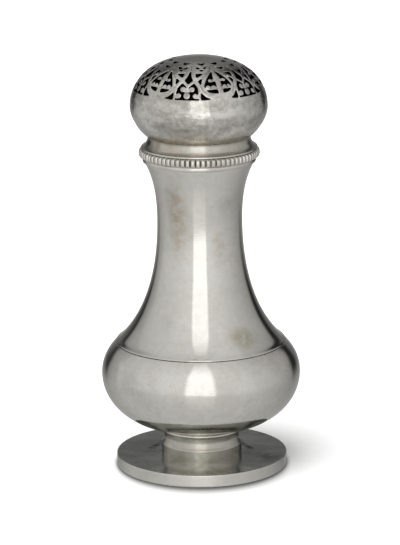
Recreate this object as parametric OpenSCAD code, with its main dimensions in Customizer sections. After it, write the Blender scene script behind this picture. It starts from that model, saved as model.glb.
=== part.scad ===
// Sugar caster in silver: a pear-shaped body on a low pedestal foot, and a
// bun-shaped pierced cover that pushes into the mouth and lifts off.
// Units are millimetres. The origin is the centre of the foot on the table,
// +Z is up, and the front faces -Y. Angles round the axis are counted from
// the front, positive towards +X.

/* [Foot] */
// Radius of the flat round foot
foot_r = 37; // [34:0.5:40]
// Height of the foot's upright edge
foot_h = 5.2; // [4.4:0.1:6]
// Thickness of the foot's top plate
plate_t = 1.2; // [0.8:0.1:1.6]
// Width of the edge band that the foot stands on
edge_t = 2; // [1.4:0.1:3]

/* [Stem] */
// Radius of the stem inside the ring below the bowl
stem_r = 16.7; // [16.4:0.1:17]
// Radius where the stem stands on the foot
stem_base_r = 17.5; // [17.2:0.1:17.9]
// Inner radius of the hollow stem
stem_in_r = 15.4; // [15:0.1:15.5]
// Height of the underside of the ring below the bowl
ring_z = 15.6; // [14.5:0.1:16.5]
// Radius of that ring at its top
ring_r = 18.8; // [18.2:0.1:19]

/* [Bowl] */
// Radius at the widest part
bowl_r = 43; // [41:0.5:45]
// Height of the widest part
bowl_z = 41.5; // [39.5:0.5:43.5]
// Height of the bowl's underside, where it sits on the stem
bowl_base_z = 18.2; // [17.6:0.1:19]
// Height of the seam between bowl and neck
seam_z = 55.4; // [54:0.1:57]
// Radius of that seam
seam_r = 36.5; // [35.5:0.1:37.5]

/* [Neck] */
// Radius at the narrowest part
neck_r = 18.3; // [17.5:0.1:19.5]
// Height of the narrowest part
neck_z = 109; // [105:0.5:112]
// Radius of the upright wall inside the rim mouldings
mouth_r = 23.4; // [23.2:0.1:23.8]
// Height where the neck turns upright
mouth_z = 134.4; // [134:0.1:134.8]
// Height of the mouth's top edge
rim_z = 140.1; // [139.8:0.1:140.6]

/* [Rim mouldings] */
// Height of the joint between the plain fillet and the milled band
band_z = 136.7; // [136.3:0.1:137.1]
// Radius over the plain fillet
fillet_r = 24.3; // [24:0.1:24.6]
// Radius over the ribs of the milled band
band_r = 25.9; // [25.5:0.1:26.3]
// Number of ribs round the milled band
rib_count = 72; // [60:6:84]
// Depth of the grooves between the ribs
rib_d = 0.7; // [0.4:0.1:0.9]

/* [Cover] */
// Radius of the dome at its widest
dome_r = 29.4; // [28:0.2:31]
// Height of the dome's widest part
dome_z = 158.5; // [157:0.5:160]
// Height of the crown, which is the whole height
crown_z = 179.8; // [177:0.1:183]
// Radius of the crease between the dome and its collar
crease_r = 22.05; // [21.8:0.05:22.3]
// Height of that crease
crease_z = 145.6; // [145:0.1:146]
// Radius over the bead of the lip
lip_r = 24.9; // [24.6:0.1:25.3]
// Thickness of the lip
lip_t = 1; // [0.8:0.1:1.2]
// Outer radius of the sleeve inside the mouth
sleeve_r = 20.6; // [20.2:0.1:20.8]
// Height of the sleeve's lower end when the cover is on
sleeve_z = 132; // [131.8:0.1:133.5]

/* [Fits] */
// Radial clearance between the sleeve and its seat
slip = 0.05; // [0.03:0.01:0.1]
// Gap left under the lip when the cover is on
seat_gap = 0.1; // [0.05:0.05:0.3]
// Thickness of the sheet metal
wall = 0.9; // [0.8:0.05:1.1]
// Thickness of the sleeve
sleeve_t = 0.8; // [0.6:0.1:1]

/* [Piercing] */
// Number of repeats of the pierced pattern
repeats = 6; // [5:1:7]
// Turn of the first three-lobed motif from the front
pattern_turn = -10; // [-30:1:30]

/* [Hidden] */
$fn = 96;
seat_z = rim_z + seat_gap;
lip_top = seat_z + lip_t;
seat_r = sleeve_r + slip;
silver_light = [0.80, 0.79, 0.76];
silver_mid = [0.70, 0.69, 0.66];
silver_dark = [0.48, 0.48, 0.46];

// ---- curves ------------------------------------------------------------

// Points along a cubic curve with four control points, n steps
function cubic(p, n) = [for (i = [0:n]) let (t = i / n, s = 1 - t)
    s*s*s*p[0] + 3*s*s*t*p[1] + 3*s*t*t*p[2] + t*t*t*p[3]];
// A list without its first point, and a list turned end for end
function rest(p) = [for (i = [1:len(p) - 1]) p[i]];
function turned(p) = [for (i = [len(p) - 1:-1:0]) p[i]];
// The same curve moved sideways by w, to the left of its direction
function unit(v) = v / norm(v);
function along(p, i) = unit(p[min(i + 1, len(p) - 1)] - p[max(i - 1, 0)]);
function beside(p, w) = [for (i = [0:len(p) - 1])
    let (d = along(p, i)) p[i] + w * [-d[1], d[0]]];
// Half-round bead on an upright wall: from z0 up to z1, standing out to r1
function bead(r0, r1, z0, z1, n) = [for (i = [0:n]) let (a = 180 * i / n)
    [r0 + (r1 - r0) * sin(a), (z0 + z1) / 2 - (z1 - z0) / 2 * cos(a)]];

// Outline of each shell, seen on the right of the axis, going upwards
stem_curve = concat([[stem_base_r, foot_h]],
    cubic([[stem_base_r, foot_h + 4.5], [stem_base_r - 0.7, foot_h + 5.9],
        [stem_r - 1.3, ring_z - 2.8], [ring_r - 1.5, ring_z]], 8));
bowl_under = turned(cubic([[bowl_r, bowl_z], [bowl_r, bowl_z - 13.5],
    [30.5, bowl_base_z + 1.1], [19.2, bowl_base_z]], 14));
bowl_over = cubic([[bowl_r, bowl_z], [bowl_r, bowl_z + 6],
    [40, seam_z - 3.3], [seam_r, seam_z]], 7);
neck_under = cubic([[seam_r, seam_z], [23, seam_z + 12.1],
    [neck_r, neck_z - 21], [neck_r, neck_z]], 16);
neck_over = cubic([[neck_r, neck_z], [neck_r, neck_z + 8],
    [19, mouth_z - 9.4], [mouth_r - 0.9, mouth_z - 1.9]], 9);
collar_curve = cubic([[lip_r - 0.5, lip_top], [22.8, lip_top + 0.9],
    [21.9, lip_top + 2.5], [crease_r, crease_z]], 7);
dome_under = cubic([[crease_r, crease_z], [25.3, crease_z + 2.4],
    [dome_r, dome_z - 5], [dome_r, dome_z]], 7);
dome_over = cubic([[dome_r, dome_z], [dome_r, dome_z + 11.5],
    [20, crown_z], [0, crown_z]], 14);

// ---- foot --------------------------------------------------------------

module foot_rim() {
    color(silver_light)
        rotate_extrude()
            polygon([[foot_r - edge_t, 0], [foot_r - 0.2, 0], [foot_r, 0.2],
                     [foot_r, foot_h - plate_t], [foot_r - edge_t, foot_h - plate_t]]);
}

module foot_plate() {
    color(silver_dark)
        rotate_extrude()
            polygon([[stem_in_r, foot_h - plate_t], [foot_r, foot_h - plate_t],
                     [foot_r, foot_h - 0.3], [foot_r - 0.3, foot_h], [stem_in_r, foot_h]]);
}

// Waisted tube with an upright base, which stands on the foot plate
module foot_stem() {
    color(silver_mid)
        rotate_extrude()
            polygon(concat(stem_curve,
                [[stem_r, ring_z], [stem_r, bowl_base_z],
                 [stem_in_r, bowl_base_z], [stem_in_r, foot_h]]));
}

// Ring that hides the joint of stem and bowl
module bowl_ring() {
    color(silver_light)
        rotate_extrude()
            polygon([[stem_r, ring_z], [ring_r - 1.1, ring_z], [ring_r - 0.5, ring_z + 0.5],
                     [ring_r - 0.6, ring_z + 1.3], [ring_r, ring_z + 1.9],
                     [ring_r, bowl_base_z], [stem_r, bowl_base_z]]);
}

// ---- body --------------------------------------------------------------

seam_in = [seam_r - 0.72 * wall, seam_z - 0.7 * wall];

module body_bowl() {
    outer = concat(bowl_under, rest(bowl_over));
    inner = beside(outer, wall);
    color(silver_mid)
        rotate_extrude()
            polygon(concat([[0, bowl_base_z]], outer, [seam_in],
                turned([for (i = [1:len(inner) - 2]) inner[i]]),
                [[0, bowl_base_z + wall]]));
}

module body_neck() {
    outer = concat(neck_under, rest(neck_over));
    inner = beside(outer, wall);
    color(silver_mid)
        rotate_extrude()
            polygon(concat(outer,
                [[mouth_r, mouth_z], [mouth_r, rim_z],
                 [mouth_r - wall, rim_z], [mouth_r - wall, mouth_z - 0.4]],
                turned(rest(inner)), [seam_in]));
}

// Straight seat inside the flaring mouth, in which the cover's sleeve slides
module mouth_ring() {
    color(silver_mid)
        difference() {
            translate([0, 0, mouth_z - 0.4]) cylinder(r = mouth_r - wall, h = rim_z - mouth_z + 0.4);
            translate([0, 0, mouth_z - 1.4]) cylinder(r = seat_r, h = rim_z - mouth_z + 2.4);
        }
}

module rim_fillet() {
    color(silver_light)
        rotate_extrude()
            polygon(concat([[mouth_r, mouth_z]],
                bead(mouth_r + 0.3, fillet_r, mouth_z, band_z, 8),
                [[mouth_r, band_z]]));
}

// Half-round band with upright grooves milled across it
module milled_band() {
    pitch = 360 / rib_count;
    color(silver_light)
        difference() {
            rotate_extrude()
                polygon(concat([[mouth_r, band_z]],
                    bead(mouth_r + 1, band_r, band_z, rim_z, 8),
                    [[mouth_r, rim_z]]));
            for (i = [0:rib_count - 1])
                rotate([0, 0, (i + 0.5) * pitch])
                    translate([0, -band_r - 0.8 + rib_d, band_z + 0.5])
                        cylinder(r = 0.8, h = rim_z - band_z - 1, $fn = 24);
        }
}

// ---- cover -------------------------------------------------------------

module cover_sleeve() {
    color(silver_mid)
        difference() {
            translate([0, 0, sleeve_z]) cylinder(r = sleeve_r, h = lip_top - sleeve_z);
            translate([0, 0, sleeve_z - 1]) cylinder(r = sleeve_r - sleeve_t, h = lip_top - sleeve_z + 2);
        }
}

// Flat ring that rests on the mouth and carries the sleeve, with a bead outside
module cover_lip() {
    color(silver_light)
        rotate_extrude()
            polygon(concat([[sleeve_r, seat_z]],
                bead(lip_r - 0.5, lip_r, seat_z, lip_top, 8),
                [[sleeve_r, lip_top]]));
}

module cover_collar() {
    inner = beside(collar_curve, wall);
    color(silver_mid)
        rotate_extrude()
            polygon(concat(collar_curve, [[crease_r - wall, crease_z]],
                turned([for (i = [2:len(inner) - 2]) inner[i]]),
                [[lip_r - 2, lip_top]]));
}

// -- pierced pattern: every opening is an outline in degrees, [turn, drop],
//    where turn is measured from the three-lobed motif's axis, with 60 to a
//    repeat, and drop is the angle down from the crown
dome_h = crown_z - dome_z;
function on_dome(turn, drop) = let (a = turn * 6 / repeats)
    [dome_r * sin(drop) * sin(a), -dome_r * sin(drop) * cos(a), dome_z + dome_h * cos(drop)];
function lean(drop) = atan2(sin(drop) / dome_r, cos(drop) / dome_h);
function mean(p, k) = let (v = [for (q = p) q[k]]) (min(v) + max(v)) / 2;
function mirrored(p) = turned([for (q = p) [-q[0], q[1]]]);

// Kite between the crossing bands, and the opening round the hanging motif
kite = [[0, 35], [2.2, 42], [4, 47.5], [0, 52], [-4, 47.5], [-2.2, 42]];
arch = [[3.4, 54.4], [6, 52.5], [9, 57], [11.4, 62], [10, 64.5], [8.6, 62.4], [6.4, 64],
        [5.8, 69], [3.6, 69], [3.8, 64], [2.6, 61.6], [5, 61.2], [7.4, 58.4], [5.4, 55.4]];
// Corner openings round the loop
spandrel = [[12.4, 69.2], [13.3, 62], [15.2, 65], [18, 67.6], [21.5, 69.2]];
slip_hole = [[10.6, 47.6], [14.2, 45.3], [13.4, 50], [13, 53.6]];
upper_hole = [[7.4, 38], [15.5, 38], [8, 43.5]];
// Inside the loop: beside the curls, and the crescent below the leaves
loop_hole = [[28.2, 36], [25, 40], [20.5, 44.5], [17.6, 48.5], [16.8, 52], [17.4, 55.6],
             [19.4, 53.4], [21.4, 52.8], [24, 54.8], [27.8, 53.6], [28.4, 50.4],
             [24.6, 50.2], [21.2, 48], [22, 45.6], [25, 46], [27.4, 43]];
crescent = [[18.6, 59.8], [22, 59.6], [27.8, 60.4], [29, 63.6], [25, 63], [21.4, 61.8]];
// Winged openings below the plain crown
crown_hole = [[7, 21], [15, 22.2], [23, 21], [15, 25.6]];
middle_hole = [[5.6, 29], [15, 31], [24.4, 29], [15, 34.4]];

module opening(p) {
    t0 = mean(p, 0);
    d0 = mean(p, 1);
    c0 = on_dome(0, d0);
    up = [0, cos(lean(d0)), sin(lean(d0))];
    rotate([0, 0, t0 * 6 / repeats])
        translate(c0)
            rotate([lean(d0), 0, 0])
                translate([0, 0, -3.2])
                    linear_extrude(height = 6.4)
                        polygon([for (q = p) let (v = on_dome(q[0] - t0, q[1]) - c0) [v[0], v * up]]);
}

module cover_dome() {
    outer = concat(dome_under, rest(dome_over));
    inner = beside(outer, wall);
    color(silver_mid)
        difference() {
            rotate_extrude()
                polygon(concat(outer, [[0, crown_z - wall]],
                    turned([for (i = [1:len(inner) - 2]) inner[i]]),
                    [[crease_r - wall, crease_z]]));
            for (k = [0:repeats - 1])
                rotate([0, 0, pattern_turn + 360 / repeats * k])
                    pattern_repeat();
        }
}

// One repeat of the pattern: the middle opening, and the rest in mirrored pairs
module pattern_repeat() {
    opening(kite);
    for (p = [arch, spandrel, slip_hole, upper_hole, loop_hole, crescent, crown_hole, middle_hole]) {
        opening(p);
        opening(mirrored(p));
    }
}

foot_rim();
foot_plate();
foot_stem();
bowl_ring();
body_bowl();
body_neck();
mouth_ring();
rim_fillet();
milled_band();
cover_sleeve();
cover_lip();
cover_collar();
cover_dome();
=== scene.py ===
"""Looks of a silver sugar caster: a pear-shaped body on a low foot and a pierced,
bun-shaped cover that lifts off. Lengths in the shape code are millimetres, in
the part's own frame: +Z up, front facing -Y, and angles round the axis counted
from the front, positive towards +X."""

import math

import bpy
import numpy as np
from mathutils import Matrix, Vector
from mathutils.geometry import delaunay_2d_cdt


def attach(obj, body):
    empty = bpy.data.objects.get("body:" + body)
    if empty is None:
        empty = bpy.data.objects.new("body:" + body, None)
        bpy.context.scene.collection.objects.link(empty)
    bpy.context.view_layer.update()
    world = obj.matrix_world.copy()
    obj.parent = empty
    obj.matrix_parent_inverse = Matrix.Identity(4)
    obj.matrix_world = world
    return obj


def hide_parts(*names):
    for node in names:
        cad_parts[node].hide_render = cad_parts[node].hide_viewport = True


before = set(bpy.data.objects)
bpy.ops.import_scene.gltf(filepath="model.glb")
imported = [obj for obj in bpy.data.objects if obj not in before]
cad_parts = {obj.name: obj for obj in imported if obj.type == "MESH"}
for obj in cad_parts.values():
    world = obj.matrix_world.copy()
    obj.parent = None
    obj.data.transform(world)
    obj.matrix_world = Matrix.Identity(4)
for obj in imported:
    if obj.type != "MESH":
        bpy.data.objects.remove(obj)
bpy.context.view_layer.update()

MM = 0.001
SEG = 240  # steps round the axis on the turned pieces

# ---------------------------------------------------------------- curves


def cubic(p, n):
    t = np.linspace(0, 1, n + 1)[:, None]
    s = 1 - t
    p = np.array(p, float)
    return s**3 * p[0] + 3 * s * s * t * p[1] + 3 * s * t * t * p[2] + t**3 * p[3]


def line(a, b, n):
    t = np.linspace(0, 1, n + 1)[:, None]
    return (1 - t) * np.array(a, float) + t * np.array(b, float)


def bead(r0, r1, z0, z1, n):
    a = np.linspace(0, math.pi, n + 1)
    return np.stack(
        [r0 + (r1 - r0) * np.sin(a), (z0 + z1) / 2 - (z1 - z0) / 2 * np.cos(a)], 1
    )


def side(p):
    """Unit normals to the right of the direction of travel."""
    d = np.gradient(p, axis=0)
    d /= np.linalg.norm(d, axis=1)[:, None]
    return np.stack([d[:, 1], -d[:, 0]], 1)


def outline(*runs):
    """A closed outline from runs of points and single corners (r, z, rounding)."""
    pts = []
    for run in runs:
        if isinstance(run, tuple):
            pts.append((run[0], run[1], run[2] if len(run) > 2 else 0.0))
        else:
            pts += [(float(r), float(z), 0.0) for r, z in run]
    kept = [pts[0]]
    for p in pts[1:]:
        if math.hypot(p[0] - kept[-1][0], p[1] - kept[-1][1]) > 1e-4:
            kept.append(p)
    if math.hypot(kept[0][0] - kept[-1][0], kept[0][1] - kept[-1][1]) < 1e-4:
        kept.pop()
    out = []
    for i, (r, z, q) in enumerate(kept):
        here = np.array((r, z))
        if q <= 0:
            out.append(here)
            continue
        a = np.array(kept[i - 1][:2]) - here
        b = np.array(kept[(i + 1) % len(kept)][:2]) - here
        la, lb = np.linalg.norm(a), np.linalg.norm(b)
        qa, qb = min(q, 0.45 * la), min(q, 0.45 * lb)
        a, b = a / la, b / lb
        if la > 3 * qa:
            out.append(here + a * qa * 1.5)
        for t in np.linspace(0, 1, 6):
            out.append(here + a * qa * (1 - t) ** 2 + b * qa * t * t)
        if lb > 3 * qb:
            out.append(here + b * qb * 1.5)
    return np.array(out)


class Ripple:
    """Slight unevenness of hand-raised sheet: a sum of waves in space."""

    def __init__(self, seed, amount, shortest, longest, count=28):
        rng = np.random.default_rng(seed)
        way = rng.normal(size=(count, 3))
        way /= np.linalg.norm(way, axis=1)[:, None]
        length = np.exp(rng.uniform(math.log(shortest), math.log(longest), count))
        self.k = way * (2 * math.pi / length)[:, None]
        self.phase = rng.uniform(0, 2 * math.pi, count)
        high = length / length.max()
        self.a = amount * high / math.sqrt(0.5 * (high**2).sum())

    def __call__(self, p):
        return (np.cos(p @ self.k.T + self.phase) * self.a).sum(-1)

    def slope(self, p):
        return -(np.sin(p @ self.k.T + self.phase) * self.a) @ self.k


# ---------------------------------------------------------------- meshes


def make(name, verts, faces, index=None, normals=None, sharp=38):
    mesh = bpy.data.meshes.new(name)
    mesh.from_pydata((np.asarray(verts) * MM).tolist(), [], faces)
    if index is not None:
        mesh.polygons.foreach_set("material_index", np.asarray(index, np.int32))
    mesh.polygons.foreach_set("use_smooth", np.ones(len(mesh.polygons), bool))
    mesh.validate()
    if normals is not None:
        mesh.normals_split_custom_set_from_vertices(np.asarray(normals).tolist())
    elif sharp:
        mesh.set_sharp_from_angle(angle=math.radians(sharp))
    mesh.update()
    obj = bpy.data.objects.new(name, mesh)
    bpy.context.scene.collection.objects.link(obj)
    return obj


def around(r, z, phi):
    return np.stack([r * np.sin(phi), -r * np.cos(phi), z + 0 * phi], -1)


def lathe(name, prof, seg=SEG, ripple=None, skin=None, inner=None, sharp=38):
    """Turns a closed outline round the axis. skin says how much of the ripple a
    point takes, and inner which steps of the outline are the inside."""
    prof = np.asarray(prof, float)
    r, z = prof.T
    area = 0.5 * np.sum(r * np.roll(z, -1) - np.roll(r, -1) * z)
    if area < 0:
        prof = prof[::-1]
        r, z = prof.T
    n = len(prof)
    d = np.roll(prof, -1, 0) - np.roll(prof, 1, 0)
    d /= np.maximum(np.linalg.norm(d, axis=1), 1e-9)[:, None]
    nr, nz = d[:, 1], -d[:, 0]
    phi = np.arange(seg) / seg * 2 * math.pi
    pos = around(r[:, None], z[:, None], phi[None, :])
    if ripple is not None:
        w = np.array([skin(a, b, c) for a, b, c in zip(r, z, nr)])
        push = ripple(pos) * w[:, None]
        pos = pos + push[..., None] * around(nr[:, None], nz[:, None], phi[None, :])
    pole = r < 1e-6
    verts, at = [], np.zeros((n, seg), int)
    count = 0
    for i in range(n):
        if pole[i]:
            verts.append(np.array([[0, 0, z[i]]]))
            at[i] = count
            count += 1
        else:
            verts.append(pos[i])
            at[i] = count + np.arange(seg)
            count += seg
    faces, index = [], []
    for i in range(n):
        k = (i + 1) % n
        if pole[i] and pole[k]:
            continue
        a, b = at[i], np.roll(at[i], -1)
        c, e = np.roll(at[k], -1), at[k]
        if pole[i]:
            new = np.stack([a, c, e], 1)
        elif pole[k]:
            new = np.stack([a, b, e], 1)
        else:
            new = np.stack([a, b, c, e], 1)
        faces += new.tolist()
        mark = 0
        if inner is not None:
            mark = int(inner((r[i] + r[k]) / 2, (z[i] + z[k]) / 2, nr[i] + nr[k]))
        index += [mark] * seg
    return make(name, np.concatenate(verts), faces, index, sharp=sharp)


# ---------------------------------------------------------------- finishes


class Graph:
    def __init__(self, tree):
        self.tree = tree
        tree.nodes.clear()

    def add(self, kind, inputs=None, **props):
        node = self.tree.nodes.new(kind)
        for k, v in props.items():
            setattr(node, k, v)
        for k, v in (inputs or {}).items():
            if isinstance(v, bpy.types.NodeSocket):
                self.tree.links.new(v, node.inputs[k])
            else:
                node.inputs[k].default_value = v
        return node

    def math(self, op, a, b=0.0, c=0.0, clamp=False):
        return self.add(
            "ShaderNodeMath", {0: a, 1: b, 2: c}, operation=op, use_clamp=clamp
        ).outputs[0]

    def noise(self, vector, scale, detail=3.0, rough=0.55, distortion=0.0):
        return self.add(
            "ShaderNodeTexNoise",
            {
                "Vector": vector,
                "Scale": scale,
                "Detail": detail,
                "Roughness": rough,
                "Distortion": distortion,
            },
        ).outputs[0]

    def span(self, value, a, b, c, d, smooth=True):
        return self.add(
            "ShaderNodeMapRange",
            {"Value": value, 1: a, 2: b, 3: c, 4: d},
            interpolation_type="SMOOTHSTEP" if smooth else "LINEAR",
        ).outputs[0]

    def mix(self, factor, a, b):
        node = self.add("ShaderNodeMix", data_type="RGBA")
        for i, v in ((0, factor), (6, a), (7, b)):
            if isinstance(v, bpy.types.NodeSocket):
                self.tree.links.new(v, node.inputs[i])
            elif i == 0:
                node.inputs[i].default_value = v
            else:
                node.inputs[i].default_value = (*v, 1.0)
        return node.outputs[2]

    def stretched(self, vector, sx, sy, sz):
        return self.add(
            "ShaderNodeVectorMath",
            {0: vector, 1: (sx, sy, sz)},
            operation="MULTIPLY",
        ).outputs[0]

    def spot(self, vector, r, turn, z, across, high):
        """A soft patch on the surface, 1 in its middle."""
        a = math.radians(turn)
        away = self.add(
            "ShaderNodeVectorMath",
            {0: vector, 1: (r * math.sin(a), -r * math.cos(a), z)},
            operation="SUBTRACT",
        ).outputs[0]
        away = self.stretched(away, 1 / across, 1 / across, 1 / high)
        far = self.add(
            "ShaderNodeVectorMath", {0: away}, operation="LENGTH"
        ).outputs[1]
        return self.span(far, 0.1, 1.0, 1.0, 0.0)


def silver(
    name,
    clean,
    dull,
    rough=(0.10, 0.16),
    patch=0.03,
    mottle=0.35,
    fine_share=0.3,
    specks=0.0,
    stains_and_shade=(),
    rings=(),
    dents=0.0,
    dent_scale=0.4,
    scratches=0.05,
    turned=0.0,
    drawn=1.0,
):
    """Worn silver. clean and dull are its two greys, patch and mottle the scale
    of cloudy and fine tarnish per millimetre. stains_and_shade are soft marks:
    real stains, and also painted shade and painted reflection. rings are bands
    of colour all round at a height, for tarnish, for painted shade in a crease
    and for a painted lighter crown; each has size, strength and colour.
    drawn is how far the clouds are drawn out sideways."""
    mat = bpy.data.materials.new(name)
    mat.use_nodes = True
    g = Graph(mat.node_tree)
    place = g.add("ShaderNodeTexCoord").outputs["Object"]
    mm = g.add(
        "ShaderNodeVectorMath", {0: place, 3: 1000.0}, operation="SCALE"
    ).outputs[0]
    cloud = g.noise(
        g.stretched(mm, 1 / drawn, 1 / drawn, drawn), patch, 4.0, 0.55, 0.5
    )
    fine = g.noise(mm, mottle, 4.0, 0.62, 0.3)
    both = g.math(
        "MULTIPLY_ADD", fine, fine_share, g.math("MULTIPLY", cloud, 1.0 - fine_share)
    )
    wear = g.span(both, 0.36, 0.64, 0.0, 1.0)
    colour = g.mix(wear, clean, dull)
    if specks:
        speck = g.span(g.noise(mm, mottle * 2.3, 3.0, 0.6, 0.5), 0.60, 0.74, 0.0, specks)
        colour = g.mix(speck, colour, tuple(0.45 * c for c in dull))
    broken = None
    # soft marks: real stains and, on some finishes, painted shade and painted reflection
    for r, turn, z, across, high, strength, tint in stains_and_shade:
        if broken is None:
            broken = g.span(g.noise(mm, 0.24, 5.0, 0.68, 0.2), 0.34, 0.64, 0.25, 1.0)
        mark = g.math("MULTIPLY", g.spot(mm, r, turn, z, across, high), strength)
        colour = g.mix(g.math("MULTIPLY", mark, broken, clamp=True), colour, tint)
    level = g.add("ShaderNodeSeparateXYZ", {0: mm}).outputs[2]
    # bands all round at a height: tarnish, and on some finishes painted shade in a crease and a painted lighter
    # crown
    for z, half, strength, tint in rings:
        off = g.math("ABSOLUTE", g.math("SUBTRACT", level, z))
        uneven = g.math("MULTIPLY", g.span(fine, 0.3, 0.7, 0.7, 1.2), strength)
        mark = g.math("MULTIPLY", g.span(off, 0.0, half, 1.0, 0.0), uneven)
        colour = g.mix(mark, colour, tint)
    # roughness follows the tarnish, with a fine haze of handling
    haze = g.noise(mm, 0.9, 3.0, 0.6)
    worn = g.math("MULTIPLY_ADD", haze, 0.4, g.math("MULTIPLY", both, 0.6))
    roughness = g.span(worn, 0.34, 0.66, rough[0], rough[1], smooth=False)
    # relief: planishing dents, fine scratches, and turned lines round the axis
    part = g.add("ShaderNodeSeparateXYZ", {0: mm})
    radius = g.math(
        "SQRT",
        g.math(
            "MULTIPLY_ADD",
            part.outputs[0],
            part.outputs[0],
            g.math("MULTIPLY", part.outputs[1], part.outputs[1]),
        ),
    )
    ringed = g.add(
        "ShaderNodeCombineXYZ",
        {
            0: g.math("MULTIPLY", radius, 1.6),
            1: g.math("MULTIPLY", part.outputs[2], 1.6),
            2: g.math("MULTIPLY", cloud, 3.0),
        },
    ).outputs[0]
    lines = g.noise(ringed, 1.0, 3.0, 0.7)
    scratch = g.noise(g.stretched(mm, 0.12, 0.12, 2.4), 1.0, 3.0, 0.7, 0.5)
    height = g.math("MULTIPLY_ADD", scratch, scratches, g.math("MULTIPLY", lines, turned))
    if dents:
        pits = g.noise(g.stretched(mm, 0.65, 0.65, 1.4), dent_scale, 3.0, 0.55, 0.4)
        height = g.math("MULTIPLY_ADD", pits, dents, height)
    relief = g.add(
        "ShaderNodeBump", {"Strength": 1.0, "Distance": 0.001, "Height": height}
    ).outputs[0]
    shader = g.add(
        "ShaderNodeBsdfPrincipled",
        {"Base Color": colour, "Metallic": 1.0, "Roughness": roughness, "Normal": relief},
    )
    g.add("ShaderNodeOutputMaterial", {"Surface": shader.outputs[0]})
    return mat


def oxidised(name, colour, rough):
    """Dull dark silver on the inside, where no cloth reaches; the darkest use of it also stands in for painted
    shade.
    """
    mat = bpy.data.materials.new(name)
    mat.use_nodes = True
    g = Graph(mat.node_tree)
    place = g.add("ShaderNodeTexCoord").outputs["Object"]
    mm = g.add(
        "ShaderNodeVectorMath", {0: place, 3: 1000.0}, operation="SCALE"
    ).outputs[0]
    cloud = g.noise(mm, 0.16, 4.0, 0.6, 0.5)
    tone = g.mix(
        g.span(cloud, 0.3, 0.7, 0.0, 1.0), colour, tuple(0.55 * c for c in colour)
    )
    roughness = g.span(cloud, 0.3, 0.7, rough - 0.08, rough + 0.08)
    relief = g.add(
        "ShaderNodeBump",
        {"Strength": 0.2, "Distance": 0.0005, "Height": g.noise(mm, 1.1, 3.0)},
    ).outputs[0]
    shader = g.add(
        "ShaderNodeBsdfPrincipled",
        {"Base Color": tone, "Metallic": 1.0, "Roughness": roughness, "Normal": relief},
    )
    g.add("ShaderNodeOutputMaterial", {"Surface": shader.outputs[0]})
    return mat


BROWN = (0.50, 0.42, 0.33)
GREY = (0.50, 0.50, 0.49)
BLACK = (0.05, 0.05, 0.045)

silver_body = silver(
    "silver_body",
    (0.785, 0.775, 0.74),
    (0.69, 0.675, 0.635),
    rough=(0.035, 0.08),
    fine_share=0.42,
    specks=0.12,
    stains_and_shade=(
        (18.5, -33, 118, 7, 16, 0.85, BROWN),
        (18.5, -27, 107, 8, 16, 0.65, BROWN),
        (18.5, -42, 124, 4, 7, 0.5, GREY),
        (18.5, 36, 119, 7, 5, 0.7, GREY),
        (18.5, 26, 100, 5, 12, 0.5, BROWN),
        (31, 36, 62.5, 10, 7, 1.0, (0.50, 0.46, 0.35)),
        (28, -30, 70, 8, 9, 0.4, GREY),
    ),
    scratches=0.012,
    turned=0.006,
)
silver_bowl = silver(
    "silver_bowl",
    (0.785, 0.775, 0.74),
    (0.68, 0.665, 0.625),
    rough=(0.04, 0.085),
    patch=0.04,
    fine_share=0.42,
    specks=0.28,
    stains_and_shade=(
        (41, -46, 45, 7, 7, 0.45, GREY),
        (42, -12, 38, 9, 3, 0.25, GREY),
        (42, 26, 38, 10, 3, 0.25, GREY),
        (40, 50, 50, 5, 5, 0.35, BROWN),
    ),
    dents=0.035,
    dent_scale=0.16,
    scratches=0.014,
    turned=0.008,
)
silver_dome = silver(
    "silver_dome",
    (0.80, 0.785, 0.745),
    (0.43, 0.416, 0.383),
    rough=(0.08, 0.17),
    patch=0.085,
    mottle=0.45,
    fine_share=0.38,
    specks=0.5,
    stains_and_shade=(
        # the brown marks low on the bulge, from z 148.5 to 150.6, are tarnish and also painted shade under the
        # bulge
        (24, -12, 148.5, 14, 3.5, 0.6, BROWN),
        (24, 32, 148.5, 10, 3.0, 0.5, BROWN),
        (27, 0, 150.6, 10, 3.5, 0.6, (0.50, 0.455, 0.385)),
        (27.9, -13, 152.9, 5.5, 1.6, 1.0, (0.28, 0.265, 0.235)),
        (28.4, 20, 153.8, 6, 1.6, 0.8, (0.28, 0.265, 0.235)),
        (28.5, -36, 154.2, 6, 2.0, 0.8, (0.30, 0.285, 0.25)),
        (28.4, 49, 155, 5, 2.0, 0.4, (0.30, 0.285, 0.25)),
        (0.7, 66, 179.8, 1.0, 1.5, 2.0, BLACK),
        (2.0, 19, 179.8, 1.0, 1.5, 2.4, BLACK),
        (3.4, 15, 179.8, 0.9, 1.5, 2.0, BLACK),
    ),
    # rings: tarnish and painted shade in the crease above the collar, and a pale ring painted on the crown to make
    # the top lighter
    rings=((146.6, 3.4, 0.75, (0.36, 0.32, 0.26)), (180.5, 5.5, 0.55, (0.84, 0.83, 0.79))),
    dents=0.21,
    dent_scale=0.36,
    scratches=0.02,
    drawn=1.7,
)
silver_mounts = silver(
    "silver_mounts",
    (0.80, 0.785, 0.745),
    (0.66, 0.64, 0.595),
    rough=(0.12, 0.22),
    patch=0.06,
    stains_and_shade=((22.3, -34, 144, 8, 4, 0.7, BROWN), (22.3, 40, 144, 8, 4, 0.5, BROWN)),
    scratches=0.02,
    turned=0.02,
)
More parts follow.
